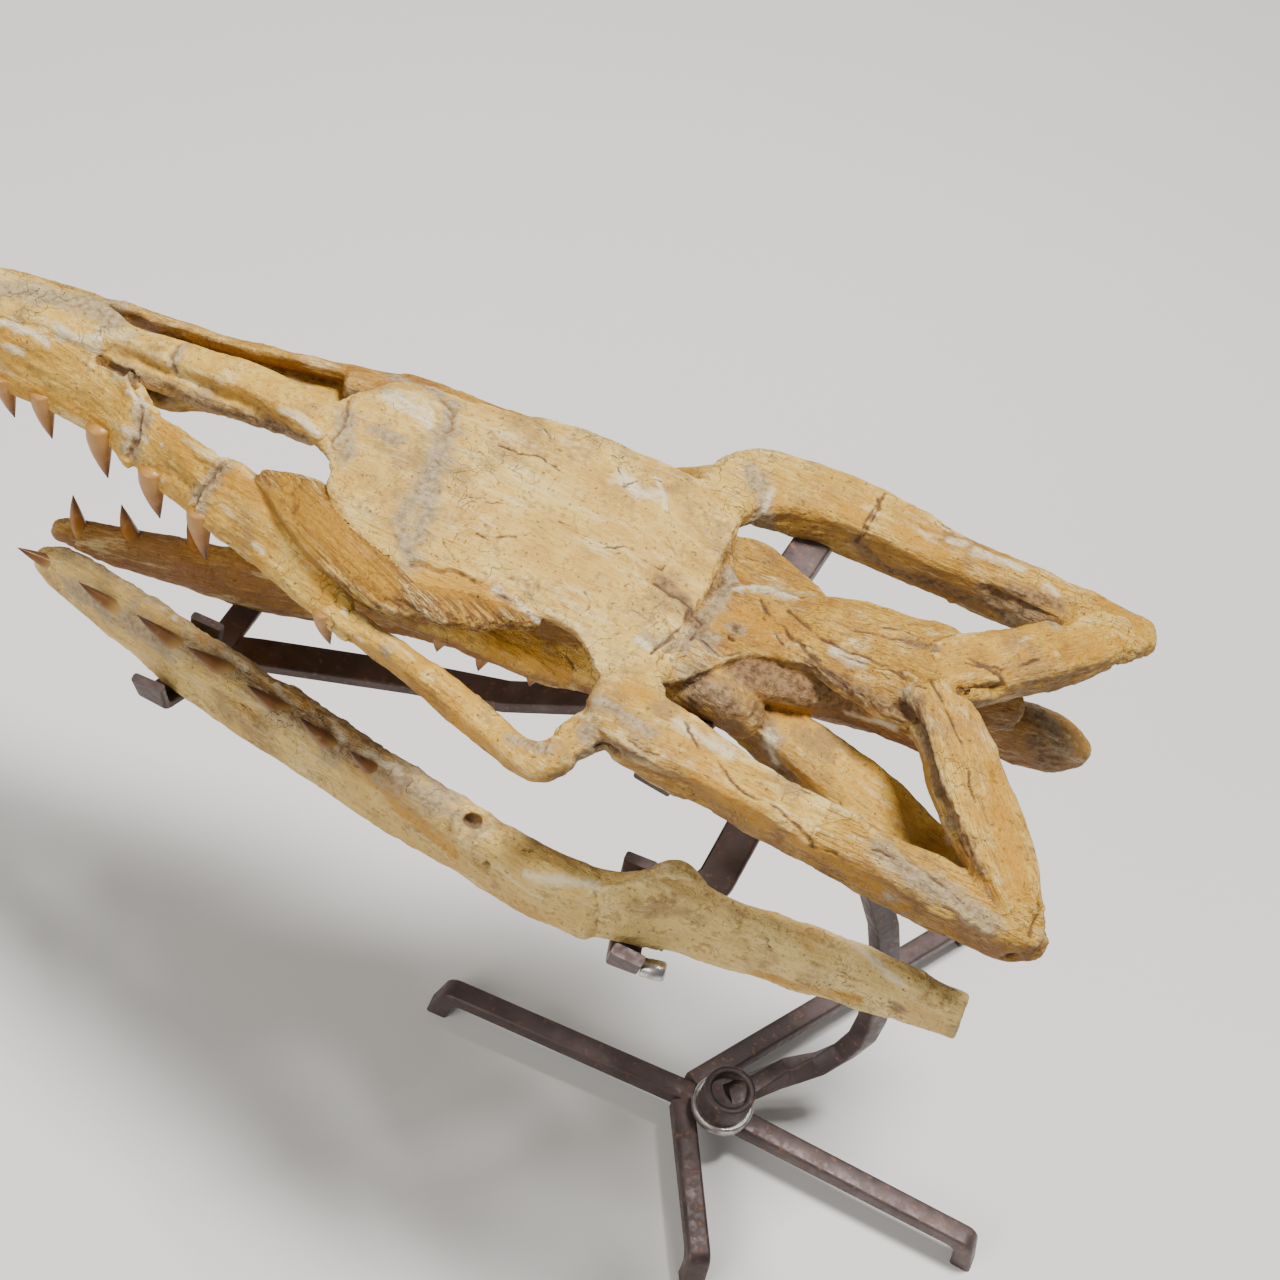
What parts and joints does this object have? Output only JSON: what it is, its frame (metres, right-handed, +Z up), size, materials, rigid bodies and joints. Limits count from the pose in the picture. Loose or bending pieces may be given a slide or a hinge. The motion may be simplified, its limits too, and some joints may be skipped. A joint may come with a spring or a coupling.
{
  "type": "mosasaur skull fossil on a stand",
  "caption": "Slender-snouted mosasaur skull with its open jaws and teeth, a still museum model on a bent steel bar stand with spreading legs.",
  "frame": {"origin": "middle of the whole model's footprint, on the floor that its feet stand on", "axes": "+X along the skull from snout to back, +Y towards the animal's right, +Z up"},
  "size_m": [0.5908, 0.2554, 0.36],
  "materials": {
    "bone": "honey-coloured mineralised bone, matt with fine grain and cracks",
    "pale_bone": "paler ochre mineralised bone, matt, streaked",
    "dark_bone": "orange-brown mineralised bone, matt, lumpy",
    "dark_steel": "dark grey-brown steel bar with a reddish tint, satin",
    "bare_steel": "bare grey steel"
  },
  "bodies": {
    "root": {"braincase": "dark_bone", "dentary_left": "bone", "dentary_right": "dark_bone", "frontal": "pale_bone", "jugal_left": "bone", "jugal_right": "bone", "maxilla_left": "bone", "maxilla_right": "bone", "parietal": "bone", "parietal_ramus_left": "bone", "parietal_ramus_right": "bone", "postdentary_left": "bone", "postdentary_right": "dark_bone", "postorbitofrontal_left": "pale_bone", "postorbitofrontal_right": "pale_bone", "prefrontal_left": "bone", "prefrontal_right": "bone", "premaxilla": "bone", "pterygoid_left": "bone", "pterygoid_right": "bone", "squamosal_left": "bone", "squamosal_right": "bone", "stand_arm": "dark_steel", "stand_bolt": "bare_steel", "stand_collar": "bare_steel", "stand_crossbar": "dark_steel", "stand_front_cradle": "dark_steel", "stand_front_rest": "dark_steel", "stand_leg_front": "dark_steel", "stand_leg_left": "dark_steel", "stand_leg_rear": "dark_steel", "stand_leg_right": "dark_steel", "stand_post": "dark_steel", "stand_rear_cradle": "dark_steel", "stand_rear_rest": "dark_steel", "stand_socket": "dark_steel", "stand_spine": "dark_steel"}
  },
  "joints": []
}
